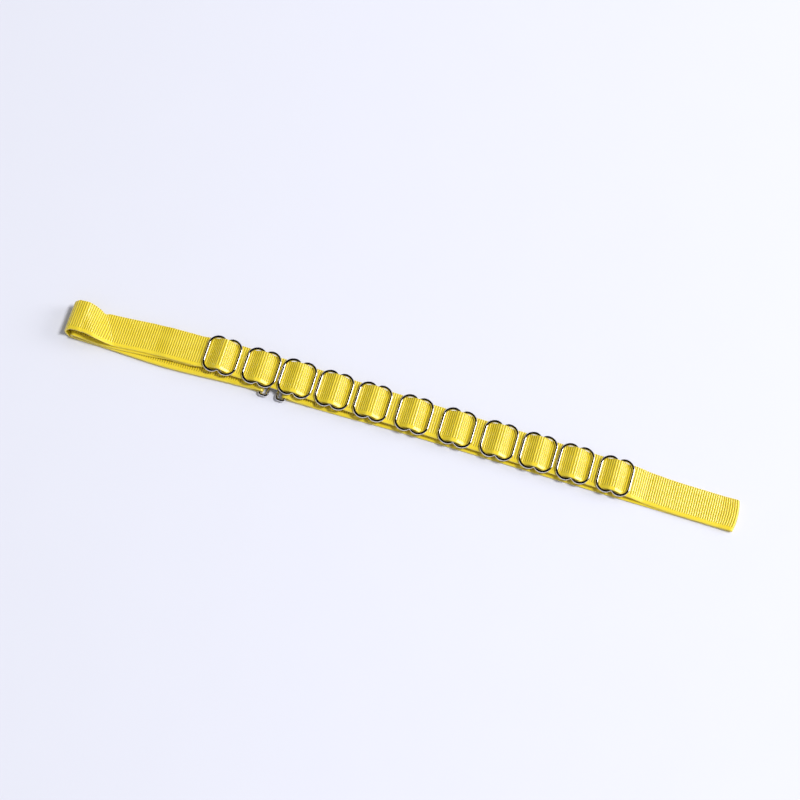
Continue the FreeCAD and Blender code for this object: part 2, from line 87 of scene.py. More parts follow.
# ---------------------------------------------------------------- sizes of the webbing and wire

WEBBING_WIDTH = 14.8
WEBBING_THICKNESS = 0.9
LAYER_PITCH = 1.0
WIRE_RADIUS = 0.65
BAR_GAP = 0.15
METAL_GAP = 0.05
CLOSURE_REACH = 1.85
EYE_TO_RING = 8.1

HALF_LAYER = WEBBING_THICKNESS / 2
BEND_ROUND_WIRE = WIRE_RADIUS + METAL_GAP + HALF_LAYER
UNDER_BAR = WIRE_RADIUS + BAR_GAP + HALF_LAYER
OVER_LOOP = BEND_ROUND_WIRE + LAYER_PITCH - METAL_GAP
SECOND_LAYER = HALF_LAYER + LAYER_PITCH
LOOP_TOP = CLOSURE_LIFT + BEND_ROUND_WIRE
ADJUSTER_PLACE = SLIDER_PLACES[0]
ADJUSTER_LIFT = SLIDER_LIFTS[0]

# The strap's hump over a slider's centre bar.
HUMP_TOP = 1.15
HUMP_FOOT = 5.1
HUMP_BEND = 1.6
ADJUSTER_SLOPE = math.radians(36.5)
ADJUSTER_BEND = 1.0

# The strap steps down off its loops round the ring and the eye onto the bottom layer.
RING_TAIL_END = 118.0
RING_STEP_FOOT = 109.5
RING_STEP_TOP = 106.0
EYE_STEP_TOP = 91.5
EYE_STEP_FOOT = 88.0
CLOSURE_STEP_BEND = 2.0

# The right fold is pressed flat, and the top layer lies flat from there to the last slider.
RIGHT_FOLD_BEND = 0.8
RIGHT_FOLD_CUT = 1.28
RIGHT_FOLD_TOP = 2.25
FLAT_FROM = 308.0
FLAT_FROM_BEND = 20.0
FLAT_TO = 273.0
FLAT_TO_BEND = 6.0
LAST_SLIDER_STEP = 267.0
LAST_SLIDER_BEND = 4.0

# The top layer steps down past the sewn tail's end, then climbs over the raised left fold.
STEP_BEND = 8.0
TOP_STEP_HIGH = 46.8
TOP_STEP_LOW = 41.8
RAMP_FOOT = 16.8
RAMP_FOOT_HEIGHT = 3.4
RAMP_FOOT_BEND = 3.0
FOLD_CREST = 7.0
FOLD_CREST_HEIGHT = 9.0
FOLD_CREST_BEND = 4.0
SHOULDER_HEIGHT = 7.2
SHOULDER_BEND = 3.2
LEFT_FOLD_CUT = 3.8
LEFT_FOLD_BEND = 3.0

# The inner fold, and the layer from there to the adjuster.
INNER_FOLD_PLACE = 3.4
INNER_FOLD_CUT = 2.85
INNER_FOLD_TOP = 4.35
INNER_FOLD_BEND = 1.25
INNER_FOOT = 15.5
INNER_FOOT_DROP = 0.03
INNER_FOOT_BEND = 6.0
SEWN_STEP_LOW = 42.2
SEWN_STEP_HIGH = 47.4
SEWN_TAIL_END = 51.0

# Middles of the layers across the belt. They don't lie exactly over each other.
ADJUSTER_Y = ROW_Y - 0.9
TAIL_Y = ROW_Y - 0.9
UNDER_SLIDERS_Y = TAIL_Y - 0.3
BEFORE_ADJUSTER_Y = ROW_Y - 1.2
FOLD_Y = ROW_Y - 3.2
CREST_Y = FOLD_Y + 0.8
INNER_Y = ROW_Y - 3.8


# ---------------------------------------------------------------- the strap's route

def route_over_slider(place, lift):
    """From a slider's right foot over its centre bar to its left foot."""
    return [
        (place + HUMP_FOOT, lift - UNDER_BAR, HUMP_BEND),
        (place + HUMP_TOP, lift + BEND_ROUND_WIRE, HUMP_BEND),
        (place - HUMP_TOP, lift + BEND_ROUND_WIRE, HUMP_BEND),
        (place - HUMP_FOOT, lift - UNDER_BAR, HUMP_BEND),
    ]


def route_right_bottom():
    """From the end sewn round the ring, right along the bottom to the right fold."""
    turn = RING_PLACE + CLOSURE_REACH - BEND_ROUND_WIRE
    right_end = BELT_LENGTH - HALF_LAYER
    return [
        (RING_TAIL_END, SECOND_LAYER, 0),
        (RING_STEP_FOOT, SECOND_LAYER, CLOSURE_STEP_BEND),
        (RING_STEP_TOP, LOOP_TOP, CLOSURE_STEP_BEND),
        (turn, LOOP_TOP, BEND_ROUND_WIRE),
        (turn, HALF_LAYER, BEND_ROUND_WIRE),
        (right_end, HALF_LAYER, RIGHT_FOLD_BEND),
        (right_end, RIGHT_FOLD_CUT, 0),
    ]


def route_top():
    """From the right fold, left through the sliders and over the left fold."""
    right_end = BELT_LENGTH - HALF_LAYER
    peak = OVER_LOOP / math.cos(ADJUSTER_SLOPE)
    foot = (peak + UNDER_BAR) / math.tan(ADJUSTER_SLOPE)
    under = ADJUSTER_LIFT - UNDER_BAR
    route = [
        (right_end, RIGHT_FOLD_CUT, 0),
        (right_end, RIGHT_FOLD_TOP, RIGHT_FOLD_BEND),
        (FLAT_FROM, SECOND_LAYER, FLAT_FROM_BEND),
        (FLAT_TO, SECOND_LAYER, FLAT_TO_BEND),
        (LAST_SLIDER_STEP, SLIDER_LIFTS[-1] - UNDER_BAR, LAST_SLIDER_BEND),
    ]
    for place, lift in list(zip(SLIDER_PLACES, SLIDER_LIFTS))[:0:-1]:
        route += route_over_slider(place, lift)
    route += [
        (ADJUSTER_PLACE + foot, under, ADJUSTER_BEND),
        (ADJUSTER_PLACE, ADJUSTER_LIFT + peak, OVER_LOOP),
        (ADJUSTER_PLACE - foot, under, ADJUSTER_BEND),
        (TOP_STEP_HIGH, under, STEP_BEND),
        (TOP_STEP_LOW, under - LAYER_PITCH, STEP_BEND),
        (RAMP_FOOT, RAMP_FOOT_HEIGHT, RAMP_FOOT_BEND),
        (FOLD_CREST, FOLD_CREST_HEIGHT, FOLD_CREST_BEND),
        (HALF_LAYER, SHOULDER_HEIGHT, SHOULDER_BEND),
        (HALF_LAYER, LEFT_FOLD_CUT, 0),
    ]
    return route


def route_left_bottom():
    """Under the left fold to the hook eye, round its bar and back as a second layer."""
    turn = RING_PLACE - EYE_TO_RING - CLOSURE_REACH + BEND_ROUND_WIRE
    return [
        (HALF_LAYER, LEFT_FOLD_CUT, 0),
        (HALF_LAYER, HALF_LAYER, LEFT_FOLD_BEND),
        (turn, HALF_LAYER, BEND_ROUND_WIRE),
        (turn, LOOP_TOP, BEND_ROUND_WIRE),
        (EYE_STEP_TOP, LOOP_TOP, CLOSURE_STEP_BEND),
        (EYE_STEP_FOOT, SECOND_LAYER, CLOSURE_STEP_BEND),
        (INNER_FOLD_PLACE, SECOND_LAYER, INNER_FOLD_BEND),
        (INNER_FOLD_PLACE, INNER_FOLD_CUT, 0),
    ]


def route_sewn_end():
    """From the inner fold to the adjuster, round its centre bar and back to the sewn tail."""
    rise = np.array([math.cos(ADJUSTER_SLOPE), math.sin(ADJUSTER_SLOPE)])
    down = np.array([rise[1], -rise[0]])
    bar = np.array([ADJUSTER_PLACE, ADJUSTER_LIFT])
    loop_top = bar + (rise - down) * BEND_ROUND_WIRE
    loop_bottom = bar + (rise + down) * BEND_ROUND_WIRE
    upper = ADJUSTER_LIFT - UNDER_BAR - LAYER_PITCH
    tail = upper - LAYER_PITCH
    slope = math.tan(ADJUSTER_SLOPE)
    return [
        (INNER_FOLD_PLACE, INNER_FOLD_CUT, 0),
        (INNER_FOLD_PLACE, INNER_FOLD_TOP, INNER_FOLD_BEND),
        (INNER_FOOT, tail - INNER_FOOT_DROP, INNER_FOOT_BEND),
        (SEWN_STEP_LOW, tail, STEP_BEND),
        (SEWN_STEP_HIGH, upper, STEP_BEND),
        (loop_top[0] - (loop_top[1] - upper) / slope, upper, HUMP_BEND),
        (loop_top[0], loop_top[1], BEND_ROUND_WIRE),
        (loop_bottom[0], loop_bottom[1], BEND_ROUND_WIRE),
        (loop_bottom[0] - (loop_bottom[1] - tail) / slope, tail, HUMP_BEND),
        (SEWN_TAIL_END, tail, 0),
    ]


FINE_STEP = 0.02
FEWEST_ARC_POINTS = 4


def trace(route):
    """Fine points along a route of straight runs joined by tangent arcs."""
    corners = [np.array(point[:2], float) for point in route]
    line = [corners[0]]
    for index in range(1, len(route) - 1):
        before, corner, after = corners[index - 1:index + 2]
        radius = route[index][2]
        back = (before - corner) / np.linalg.norm(before - corner)
        ahead = (after - corner) / np.linalg.norm(after - corner)
        half = math.acos(float(np.clip(back @ ahead, -1, 1))) / 2
        reach = radius / math.tan(half)
        middle = (back + ahead) / np.linalg.norm(back + ahead)
        centre = corner + middle * radius / math.sin(half)
        first = corner + back * reach - centre
        last = corner + ahead * reach - centre
        turn_from = math.atan2(first[1], first[0])
        turn = math.atan2(first[0] * last[1] - first[1] * last[0], first @ last)
        count = max(FEWEST_ARC_POINTS, int(abs(turn) * radius / FINE_STEP))
        for angle in np.linspace(turn_from, turn_from + turn, count):
            line.append(centre + radius * np.array([math.cos(angle), math.sin(angle)]))
    line.append(corners[-1])
    return np.array(line)


def smooth(value, start, end):
    """0 before start, 1 after end, and an even turn between them."""
    t = np.clip((value - start) / (end - start), 0, 1)
    return t * t * (3 - 2 * t)


def eased(value, stops):
    """A value that passes smoothly from each stop (place, value) to the next."""
    result = np.full(np.shape(value), float(stops[0][1]))
    for (place, level), (next_place, next_level) in zip(stops, stops[1:]):
        result = result + (next_level - level) * smooth(value, place, next_place)
    return result


# Where the middle of the strap lies across the belt, as stops (place, middle) along each part.
RIGHT_BOTTOM_STOPS = [(108, CLOSURE_Y), (165, UNDER_SLIDERS_Y), (250, UNDER_SLIDERS_Y), (310, TAIL_Y)]
TOP_STOPS = [
    (0.5, FOLD_Y), (3, CREST_Y), (9, CREST_Y), (15, FOLD_Y),
    (45, BEFORE_ADJUSTER_Y), (60, ADJUSTER_Y), (67, ROW_Y), (264, ROW_Y), (290, TAIL_Y),
]
LEFT_BOTTOM_STOPS = [
    (0.9, FOLD_Y), (2.6, INNER_Y), (12, INNER_Y - 0.1), (45, INNER_Y - 0.8), (90, CLOSURE_Y),
]
SEWN_STOPS = [(5, INNER_Y), (15, INNER_Y), (61, ADJUSTER_Y), (66, ROW_Y)]

# The parts of the route in order along the strap, each with its stops.
PARTS = [
    (route_right_bottom(), RIGHT_BOTTOM_STOPS),
    (route_top(), TOP_STOPS),
    (route_left_bottom(), LEFT_BOTTOM_STOPS),
    (route_sewn_end(), SEWN_STOPS),
]
RIGHT_BOTTOM, TOP, LEFT_BOTTOM, SEWN = range(4)

RIB_PITCH = 1.08
SECTIONS_PER_RIB = 4
SAME_POINT = 1e-7


def whole_line():
    """The strap's centre line from one end to the other, in even steps: place, height, middle
    across the belt, part number and distance along the strap."""
    lines = [trace(route) for route, stops in PARTS]
    place, height = np.concatenate(lines).T
    part = np.concatenate([np.full(len(line), number) for number, line in enumerate(lines)])
    keep = np.concatenate([[True], np.hypot(np.diff(place), np.diff(height)) > SAME_POINT])
    place, height, part = place[keep], height[keep], part[keep]
    distance = np.concatenate([[0], np.cumsum(np.hypot(np.diff(place), np.diff(height)))])
    count = int(distance[-1] / (RIB_PITCH / SECTIONS_PER_RIB))
    even = np.linspace(0, distance[-1], count + 1)
    nearest = np.clip(np.searchsorted(distance, even), 0, len(part) - 1)
    place = np.interp(even, distance, place)
    part = part[nearest]
    middle = np.zeros(len(even))
    for number, (route, stops) in enumerate(PARTS):
        middle = np.where(part == number, eased(place, stops), middle)
    return place, np.interp(even, distance, height), middle, part, even


LINE_U, LINE_Z, LINE_Y, LINE_PART, LINE_S = whole_line()
RIGHT_FOLD_REACH = 2


def at_place(part, place):
    """The section of one part of the route that is nearest to a place. On the top layer, the
    right fold's bend is left out."""
    gaps = np.where(LINE_PART == part, np.abs(LINE_U - place), np.inf)
    if part == TOP:
        gaps = np.where(LINE_U < BELT_LENGTH - RIGHT_FOLD_REACH, gaps, np.inf)
    return int(np.argmin(gaps))


# ---------------------------------------------------------------- the webbing's section

# The weave: ribs across the webbing and a plain selvage along each edge. The ribs run through
# rows in which they slant and shift very slightly, and fine warp lines cross them.
ROW_HEIGHT = 1.43
ROW_COUNT = 9
NEAR_SELVAGE = 1.75
RIB_SLANT = 0.05
ROW_SHIFTS = [0.0, 0.03, -0.03, 0.04, -0.02, 0.02, -0.03, 0.03, 0.0]
WARP_PITCH = 0.477
RIB_DEPTH = 0.16
FADE_IN_SELVAGE = 0.3
FADE_IN_RIBS = 0.2
HALF_WIDTH = WEBBING_WIDTH / 2
EDGE_ROUND = 0.32
THINNEST_EDGE = 0.02
EDGE_STEPS = [0.0, 0.05, 0.16, 0.34]
NEAR_SELVAGE_STEPS = [0.9, 1.7]
FAR_SELVAGE_STEPS = [0.6]
FIRST_ROW = -HALF_WIDTH + NEAR_SELVAGE
LAST_ROW = FIRST_ROW + ROW_COUNT * ROW_HEIGHT


def section_places():
    """Where the section's points lie across the webbing, from the near edge to the far edge."""
    near = [-HALF_WIDTH + step for step in EDGE_STEPS + NEAR_SELVAGE_STEPS]
    rows = [FIRST_ROW + ROW_HEIGHT * (row + share)
            for row in range(ROW_COUNT) for share in (0.2, 0.8)]
    far = [HALF_WIDTH - step for step in FAR_SELVAGE_STEPS + EDGE_STEPS[::-1]]
    return np.array(near + rows + far)


ACROSS = section_places()


def edge_profile(across):
    """Share of the full thickness: 1 in the middle, rounded off to a thin edge."""
    into = np.clip((np.abs(across) - (HALF_WIDTH - EDGE_ROUND)) / EDGE_ROUND, 0, 1)
    return np.sqrt(np.clip(1 - into * into, THINNEST_EDGE, 1))


def rib_groove(distance, across):
    """How deep the grooves between the ribs are, from 0 on a rib to 1 in a groove."""
    row = np.clip(np.floor((across - FIRST_ROW) / ROW_HEIGHT), 0, ROW_COUNT - 1)
    in_row = (across - FIRST_ROW) / ROW_HEIGHT - row - 0.5
    shift = np.array(ROW_SHIFTS)[row.astype(int)]
    phase = distance / RIB_PITCH + shift + in_row * RIB_SLANT
    ribbed = smooth(across, FIRST_ROW - FADE_IN_SELVAGE, FIRST_ROW + FADE_IN_RIBS)
    ribbed = ribbed * (1 - smooth(across, LAST_ROW - FADE_IN_RIBS, LAST_ROW + FADE_IN_SELVAGE))
    return ribbed * (0.5 - 0.5 * np.cos(2 * math.pi * phase))


# The left fold is skewed: its ramp comes down later towards the near edge, and its far edge is
# pinched inward at the ramp's foot.
FOLD_SKEW = 8.5
FAR_LEAD = 2.0
SKEW_COMES = (5.0, 13.0)
SKEW_GOES = (24.0, 42.0)
SKEW_EASE = 2.0
RAMP_END = 45.0
PINCH_DEPTH = 0.7
PINCH_LENGTH = 1.7
# The right fold bows out in the middle of its width.
BOW_LENGTH = 14.0
BOW_DEPTH = 1.0
ramp_from = at_place(TOP, RAMP_END)
ramp_to = at_place(TOP, FOLD_CREST)
RAMP_U = LINE_U[ramp_from:ramp_to + 1][::-1]
RAMP_Z = LINE_Z[ramp_from:ramp_to + 1][::-1]

# Width of the webbing: gathered round the adjuster's bar, and relaxed between the sliders and
# in the tails. Each pair is where a change starts and ends.
GATHERED_WIDTH = 12.4
RELAXED_EXTRA = 0.4
GATHERED_AT = (58.0, 65.5)
RELAXED_FROM_BAR = (4.5, 8.0)
RELAXED_AFTER_RING = (112.0, 140.0)
PAST_ADJUSTER = 6.0


def skewed_height(place, height, across):
    """Height of the top layer near the left fold, where the ramp is skewed across the belt."""
    nearness = 0.5 - across / WEBBING_WIDTH
    amount = FOLD_SKEW * nearness - FAR_LEAD
    amount = amount * smooth(place, *SKEW_COMES) * (1 - smooth(place, *SKEW_GOES))
    shifted = np.interp(np.maximum(place - amount, FOLD_CREST), RAMP_U, RAMP_Z)
    use = smooth(place, FOLD_CREST, FOLD_CREST + SKEW_EASE)
    return height + (shifted - height) * use


def width_share(part, place):
    """Share of the webbing's full width along the strap."""
    gathered = np.where(part == SEWN, smooth(place, *GATHERED_AT), 0.0)
    from_bar = np.abs(place[:, None] - np.array(SLIDER_PLACES)[None, :]).min(axis=1)
    between = smooth(from_bar, *RELAXED_FROM_BAR)
    between = between * smooth(place, ADJUSTER_PLACE, ADJUSTER_PLACE + PAST_ADJUSTER)
    relaxed = np.where(part == TOP, between, 0.0)
    relaxed = np.where(part == RIGHT_BOTTOM, smooth(place, *RELAXED_AFTER_RING), relaxed)
    narrower = 1 - gathered * (1 - GATHERED_WIDTH / WEBBING_WIDTH)
    return narrower * (1 + relaxed * RELAXED_EXTRA / WEBBING_WIDTH)


def surface_points():
    """All the section points of the strap, in millimetres: sections x ring x 3."""
    sections = len(LINE_S)
    across = np.tile(ACROSS, (sections, 1))
    place = np.tile(LINE_U[:, None], (1, len(ACROSS)))
    height = np.tile(LINE_Z[:, None], (1, len(ACROSS)))
    on_ramp = (LINE_PART[:, None] == TOP) & (place > FOLD_CREST) & (place < RAMP_END)
    height = np.where(on_ramp, skewed_height(place, height, across), height)
    run_u = np.gradient(place, axis=0)
    run_z = np.gradient(height, axis=0)
    length = np.hypot(run_u, run_z)
    normal_u = -run_z / length
    normal_z = run_u / length
    half = HALF_LAYER * edge_profile(across)
    half = half - RIB_DEPTH * rib_groove(LINE_S[:, None], across)
    width = width_share(LINE_PART, LINE_U)[:, None]
    pinch = PINCH_DEPTH * np.exp(-((place - RAMP_FOOT + FAR_LEAD) / PINCH_LENGTH) ** 2)
    pinch = np.where(on_ramp, pinch * np.clip(across / HALF_WIDTH, 0, 1) ** 2, 0.0)
    y = LINE_Y[:, None] + across * width - pinch
    bowed = smooth(place, BELT_LENGTH - BOW_LENGTH, BELT_LENGTH) * BOW_DEPTH
    place = place - bowed * (across / HALF_WIDTH) ** 2
    one_side = np.stack([place + normal_u * half, y, height + normal_z * half], axis=2)
    other_side = np.stack([place - normal_u * half, y, height - normal_z * half], axis=2)
    ring = np.concatenate([one_side, other_side[:, ::-1]], axis=1)
    ring_across = np.concatenate([across, across[:, ::-1]], axis=1)
    return ring, ring_across


RING_POINTS, RING_ACROSS = surface_points()
RING_SIZE = RING_POINTS.shape[1]
HALF_RING = RING_SIZE // 2


def ring_normals():
    """Smooth normals at all the section points, so that pieces meet without a seam."""
    along = np.gradient(RING_POINTS, axis=0)
    around = (np.roll(RING_POINTS, -1, axis=1) - np.roll(RING_POINTS, 1, axis=1)) / 2
    normals = np.cross(around, along)
    centre = RING_POINTS.mean(axis=1, keepdims=True)
    outward = ((RING_POINTS - centre) * normals).sum(axis=2).mean()
    normals = normals if outward > 0 else -normals
    return normals / np.maximum(np.linalg.norm(normals, axis=2, keepdims=True), 1e-9)


RING_NORMALS = ring_normals()


def to_metres(points):
    """Millimetres from the left fold to metres in the row frame."""
    return points * MM + np.array([LEFT_END, 0, 0])


def make_piece(name, first, last, material):
    """A closed length of webbing between two sections of the whole strap."""
    count = last - first + 1
    points = to_metres(RING_POINTS[first:last + 1]).reshape(-1, 3)
    faces = []
    for section in range(count - 1):
        base = section * RING_SIZE
        for step in range(RING_SIZE):
            after = (step + 1) % RING_SIZE
            faces.append((base + step, base + after,
                          base + RING_SIZE + after, base + RING_SIZE + step))
    side_faces = len(faces)
    for base, flip in ((0, True), ((count - 1) * RING_SIZE, False)):
        for step in range(HALF_RING - 1):
            quad = (base + step, base + step + 1,
                    base + RING_SIZE - 2 - step, base + RING_SIZE - 1 - step)
            faces.append(quad[::-1] if flip else quad)
    mesh = bpy.data.meshes.new(name)
    mesh.from_pydata(points.tolist(), [], faces)
    normals = RING_NORMALS[first:last + 1].reshape(-1, 3)
    mesh.update()
    first_normal = np.array(mesh.polygons[0].normal)
    if first_normal @ normals[0] < 0:
        mesh.flip_normals()
        mesh.update()
    for polygon in mesh.polygons:
        polygon.use_smooth = polygon.index < side_faces
    loop_normals = []
    for polygon in mesh.polygons:
        for vertex in polygon.vertices:
            capped = polygon.index >= side_faces
            loop_normals.append(tuple(polygon.normal) if capped else tuple(normals[vertex]))
    mesh.normals_split_custom_set(loop_normals)
    distance = np.repeat(LINE_S[first:last + 1], RING_SIZE)
    across = RING_ACROSS[first:last + 1].reshape(-1)
    for label, values in (("along_mm", distance), ("across_mm", across)):
        attribute = mesh.attributes.new(label, "FLOAT", "POINT")
        attribute.data.foreach_set("value", values.astype(np.float32))
    mesh.materials.append(material)
    piece = bpy.data.objects.new(name, mesh)
    bpy.context.scene.collection.objects.link(piece)
    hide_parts("main_strap")
    return piece


# ---------------------------------------------------------------- materials

class Nodes:
    """Short calls for adding shader nodes to one material or world."""

    def __init__(self, tree):
        self.tree = tree
        tree.nodes.clear()

    def add(self, kind, **settings):
        node = self.tree.nodes.new(kind)
        for name, value in settings.items():
            setattr(node, name, value)
        return node

    def join(self, source, target):
        self.tree.links.new(source, target)

    def fill(self, socket, value):
        """Links a socket's value, or sets it where it is a plain number or colour."""
        if isinstance(value, bpy.types.NodeSocket):
            self.join(value, socket)
        else:
            socket.default_value = value

    def maths(self, operation, *values):
        node = self.add("ShaderNodeMath", operation=operation)
        for index, value in enumerate(values):
            self.fill(node.inputs[index], value)
        return node.outputs[0]

    def ramp(self, value, low, high, low_to=0.0, high_to=1.0):
        """A smooth step of a value from low to high."""
        node = self.add("ShaderNodeMapRange", interpolation_type="SMOOTHSTEP")
        for index, number in enumerate((value, low, high, low_to, high_to)):
            self.fill(node.inputs[index], number)
        return node.outputs[0]

    def mix(self, share, first, second, blend="MIX"):
        node = self.add("ShaderNodeMix", data_type="RGBA", blend_type=blend)
        self.fill(node.inputs[0], share)
        self.fill(node.inputs[6], first)
        self.fill(node.inputs[7], second)
        return node.outputs[2]

    def noise(self, vector, scale, detail=2.0):
        node = self.add("ShaderNodeTexNoise")
        self.join(vector, node.inputs["Vector"])
        node.inputs["Scale"].default_value = scale
        node.inputs["Detail"].default_value = detail
        return node.outputs["Fac"]

    def attribute(self, name):
        node = self.add("ShaderNodeAttribute", attribute_name=name)
        return node.outputs["Fac"]

    def vector(self, x, y, z=0.0):
        node = self.add("ShaderNodeCombineXYZ")
        for index, value in enumerate((x, y, z)):
            self.fill(node.inputs[index], value)
        return node.outputs[0]

    def bump(self, height, strength, distance, after=None):
        node = self.add("ShaderNodeBump")
        self.fill(node.inputs["Height"], height)
        node.inputs["Strength"].default_value = strength
        node.inputs["Distance"].default_value = distance
        if after is not None:
            self.join(after, node.inputs["Normal"])
        return node.outputs[0]


def new_material(name):
    material = bpy.data.materials.new(name)
    material.use_nodes = True
    nodes = Nodes(material.node_tree)
    shader = nodes.add("ShaderNodeBsdfPrincipled")
    output = nodes.add("ShaderNodeOutputMaterial")
    nodes.join(shader.outputs[0], output.inputs[0])
    return material, nodes, shader


def webbing_material():
    """Ribbed elastic webbing: bright yellow ribs over grooves painted darker as shade, plain at the
    selvages.
    """
    groove_shade_colour = (0.42, 0.30, 0.004, 1)
    rib_colour = (0.95, 0.745, 0.02, 1)
    selvage_colour = (0.94, 0.73, 0.016, 1)
    yarn_shade = (0.80, 0.62, 0.02, 1)
    fibre_shade = (0.80, 0.61, 0.02, 1)
    faded_colour = (0.97, 0.82, 0.08, 1)
    material, nodes, shader = new_material("ribbed_elastic_webbing")
    along = nodes.attribute("along_mm")
    across = nodes.attribute("across_mm")
    from_first = nodes.maths("DIVIDE", nodes.maths("SUBTRACT", across, FIRST_ROW), ROW_HEIGHT)
    row = nodes.maths("FLOOR", from_first)
    in_row = nodes.maths("SUBTRACT", nodes.maths("SUBTRACT", from_first, row), 0.5)
    row_turn = nodes.maths("SINE", nodes.maths("MULTIPLY", row, 2.4))
    row_shift = nodes.maths("MULTIPLY", row_turn, 0.03)
    slanted = nodes.maths("MULTIPLY_ADD", in_row, RIB_SLANT, row_shift)
    wander = nodes.noise(nodes.vector(along, across), 0.35)
    phase = nodes.maths("ADD", nodes.maths("DIVIDE", along, RIB_PITCH), slanted)
    phase = nodes.maths("MULTIPLY_ADD", wander, 0.12, phase)
    wave = nodes.maths("COSINE", nodes.maths("MULTIPLY", phase, 2 * math.pi))
    rib = nodes.maths("MULTIPLY_ADD", wave, 0.5, 0.5)
    warp_wave = nodes.maths("COSINE", nodes.maths("MULTIPLY", across, 2 * math.pi / WARP_PITCH))
    warp_line = nodes.maths("MULTIPLY_ADD", warp_wave, -0.5, 0.5)
    ribbed = nodes.maths(
        "MULTIPLY",
        nodes.ramp(across, FIRST_ROW - FADE_IN_SELVAGE, FIRST_ROW + FADE_IN_RIBS),
        nodes.ramp(across, LAST_ROW - FADE_IN_RIBS, LAST_ROW + FADE_IN_SELVAGE, 1.0, 0.0))
    raised = nodes.maths("MULTIPLY", rib, nodes.maths("MULTIPLY_ADD", warp_line, -0.22, 1.0))
    # Fine yarn along the strap in the selvage, and across it on the ribs.
    yarn = nodes.noise(nodes.vector(nodes.maths("MULTIPLY", along, 1.2),
                                    nodes.maths("MULTIPLY", across, 5.0)), 1.6, 3.0)
    fibre = nodes.noise(nodes.vector(nodes.maths("MULTIPLY", along, 7.0),
                                     nodes.maths("MULTIPLY", across, 1.6)), 1.4, 4.0)
    blotch = nodes.noise(nodes.vector(nodes.maths("MULTIPLY", along, 0.12),
                                      nodes.maths("MULTIPLY", across, 0.2)), 1.0, 2.0)
    # Painted shade: the grooves between the ribs are coloured darker, as the shade that falls in these
    # hollows.
    ribs = nodes.mix(nodes.ramp(raised, 0.08, 0.62), groove_shade_colour, rib_colour)
    plain = nodes.mix(nodes.ramp(yarn, 0.35, 0.65), yarn_shade, selvage_colour)
    colour = nodes.mix(ribbed, plain, ribs)
    colour = nodes.mix(nodes.ramp(fibre, 0.3, 0.7, 0.0, 0.25), colour, fibre_shade)
    colour = nodes.mix(nodes.ramp(blotch, 0.4, 0.7, 0.0, 0.16), colour, faded_colour)
    nodes.join(colour, shader.inputs["Base Color"])
    nodes.join(nodes.ramp(fibre, 0.3, 0.7, 0.30, 0.42), shader.inputs["Roughness"])
    shader.inputs["Specular IOR Level"].default_value = 1.0
    shader.inputs["IOR"].default_value = 1.75
    relief = nodes.maths("MULTIPLY", raised, ribbed)
    relief = nodes.maths("MULTIPLY_ADD", fibre, 0.25, relief)
    relief = nodes.maths("MULTIPLY_ADD", yarn, 0.18, relief)
    nodes.join(nodes.bump(relief, 0.75, 0.00012), shader.inputs["Normal"])
    return material


def wire_material():
    """Bright nickel plate over round wire, with fine drawing marks and light handling wear."""
    material, nodes, shader = new_material("bright_nickel_wire")
    where = nodes.add("ShaderNodeTexCoord").outputs["Object"]
    smear = nodes.noise(where, 260.0, 3.0)
    pits = nodes.noise(where, 2600.0, 2.0)
    colour = nodes.mix(nodes.ramp(smear, 0.35, 0.7), (0.86, 0.84, 0.83, 1), (0.74, 0.71, 0.70, 1))
    nodes.join(colour, shader.inputs["Base Color"])
    nodes.join(nodes.ramp(smear, 0.35, 0.75, 0.15, 0.24), shader.inputs["Roughness"])
    shader.inputs["Metallic"].default_value = 1.0
    marks = nodes.maths("MULTIPLY_ADD", smear, 0.6, pits)
    nodes.join(nodes.bump(marks, 0.06, 0.00002), shader.inputs["Normal"])
    return material


def thread_material():
    """Twisted polyester thread, a little paler than the webbing."""
    material, nodes, shader = new_material("twisted_thread")
    turns = nodes.attribute("twist")
    strand = nodes.maths("SINE", nodes.maths("MULTIPLY", turns, 2 * math.pi))
    colour = nodes.mix(nodes.ramp(strand, -0.8, 0.6), (0.66, 0.48, 0.03, 1), (0.95, 0.80, 0.16, 1))
    nodes.join(colour, shader.inputs["Base Color"])
    shader.inputs["Roughness"].default_value = 0.55
    shader.inputs["Sheen Weight"].default_value = 0.2
    nodes.join(nodes.bump(strand, 0.6, 0.00006), shader.inputs["Normal"])
    return material


def floor_material():
    """Pale matt studio floor, with a faint mottle."""
    material, nodes, shader = new_material("pale_floor")
    where = nodes.add("ShaderNodeTexCoord").outputs["Object"]
    mottle = nodes.noise(where, 30.0, 3.0)
    colour = nodes.mix(mottle, (0.665, 0.68, 0.775, 1), (0.675, 0.69, 0.785, 1))
    nodes.join(colour, shader.inputs["Base Color"])
    shader.inputs["Roughness"].default_value = 0.85
    shader.inputs["Specular IOR Level"].default_value = 0.2
    nodes.join(nodes.bump(nodes.noise(where, 900.0, 2.0), 0.05, 0.0001), shader.inputs["Normal"])
    return material


WEBBING = webbing_material()
WIRE = wire_material()
THREAD = thread_material()

# ---------------------------------------------------------------- strap pieces

LEFT_STILL = 20.0
RIGHT_STILL = 290.0


def blend_along(piece):
    """Bakes the piece's placement into its mesh."""
    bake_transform(piece)


def middle_of_gap(number):
    """Halfway between a slider and the next one."""
    return (SLIDER_PLACES[number - 1] + SLIDER_PLACES[number]) / 2


